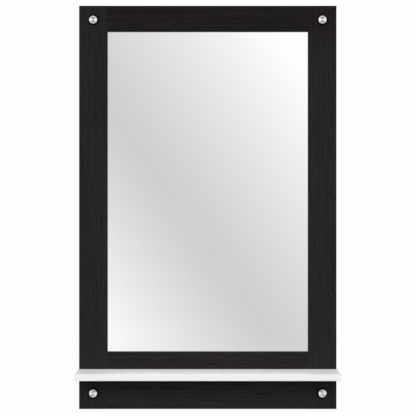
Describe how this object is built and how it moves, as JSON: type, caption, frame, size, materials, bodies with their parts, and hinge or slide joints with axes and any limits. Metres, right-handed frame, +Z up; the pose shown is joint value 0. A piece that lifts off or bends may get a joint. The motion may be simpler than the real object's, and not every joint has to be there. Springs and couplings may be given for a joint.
{
  "type": "mirror with shelf",
  "caption": "Portrait wall mirror in a flat dark wood-grain frame, with a white shelf across its lower rail and screw-on round caps over the wall fixings.",
  "frame": {"origin": "middle of the four wall holes, on the plane of the wall that the frame's back lies on", "axes": "+Z up, +X to the viewer's right, +Y into the wall; the mirror faces -Y"},
  "size_m": [0.604, 0.138, 0.94],
  "materials": {
    "dark_laminate": "near-black brown wood-grain laminate, matt",
    "beech": "plain ribbed beech dowel",
    "mirror": "silvered float glass",
    "black_rubber": "matt",
    "black_foam": "closed-cell foam tape",
    "hardboard": "brown hardboard with a mesh-pressed back",
    "zinc_plate": "zinc-plated",
    "white_lacquer": "white satin lacquer on fibreboard",
    "turned_brass": "turned",
    "black_nylon": "matt",
    "turned_steel": "face-turned, satin"
  },
  "bodies": {
    "frame": {"left_stile": "dark_laminate", "right_stile": "dark_laminate", "top_rail": "dark_laminate", "bottom_rail": "dark_laminate", "top_rail_dowels": "beech", "bottom_rail_dowels": "beech", "shelf_dowels": "beech", "mirror_glass": "mirror", "glass_pads": "black_rubber", "foam_tape": "black_foam", "backing_board": "hardboard", "backing_screws": "zinc_plate", "shelf_screws": "zinc_plate", "shelf": "white_lacquer", "cap_seat_top_left": "turned_brass", "cap_seat_top_right": "turned_brass", "cap_seat_bottom_left": "turned_brass", "cap_seat_bottom_right": "turned_brass"},
    "washer_top_left": {"cap_washer_top_left": "black_nylon"},
    "cap_top_left": {"cap_top_left": "turned_steel"},
    "washer_top_right": {"cap_washer_top_right": "black_nylon"},
    "cap_top_right": {"cap_top_right": "turned_steel"},
    "washer_bottom_left": {"cap_washer_bottom_left": "black_nylon"},
    "cap_bottom_left": {"cap_bottom_left": "turned_steel"},
    "washer_bottom_right": {"cap_washer_bottom_right": "black_nylon"},
    "cap_bottom_right": {"cap_bottom_right": "turned_steel"}
  },
  "joints": [
    {"name": "lift_top_left", "type": "slide", "parent": "frame", "child": "washer_top_left", "axis": [0, -1, 0], "range_m": [0, 0.0042]},
    {"name": "unscrew_top_left", "type": "hinge", "parent": "washer_top_left", "child": "cap_top_left", "pos_m": [-0.267, -0.018, 0.435], "axis": [0, -1, 0], "range_deg": [0, 1440]},
    {"name": "lift_top_right", "type": "slide", "parent": "frame", "child": "washer_top_right", "axis": [0, -1, 0], "range_m": [0, 0.0042]},
    {"name": "unscrew_top_right", "type": "hinge", "parent": "washer_top_right", "child": "cap_top_right", "pos_m": [0.267, -0.018, 0.435], "axis": [0, -1, 0], "range_deg": [0, 1440]},
    {"name": "lift_bottom_left", "type": "slide", "parent": "frame", "child": "washer_bottom_left", "axis": [0, -1, 0], "range_m": [0, 0.0042]},
    {"name": "unscrew_bottom_left", "type": "hinge", "parent": "washer_bottom_left", "child": "cap_bottom_left", "pos_m": [-0.267, -0.018, -0.435], "axis": [0, -1, 0], "range_deg": [0, 1440]},
    {"name": "lift_bottom_right", "type": "slide", "parent": "frame", "child": "washer_bottom_right", "axis": [0, -1, 0], "range_m": [0, 0.0042]},
    {"name": "unscrew_bottom_right", "type": "hinge", "parent": "washer_bottom_right", "child": "cap_bottom_right", "pos_m": [0.267, -0.018, -0.435], "axis": [0, -1, 0], "range_deg": [0, 1440]}
  ],
  "couplings": [
    {"joint": "lift_top_left", "follows": "unscrew_top_left", "m_per_rad": 0.00015915},
    {"joint": "lift_top_right", "follows": "unscrew_top_right", "m_per_rad": 0.00015915},
    {"joint": "lift_bottom_left", "follows": "unscrew_bottom_left", "m_per_rad": 0.00015915},
    {"joint": "lift_bottom_right", "follows": "unscrew_bottom_right", "m_per_rad": 0.00015915}
  ]
}
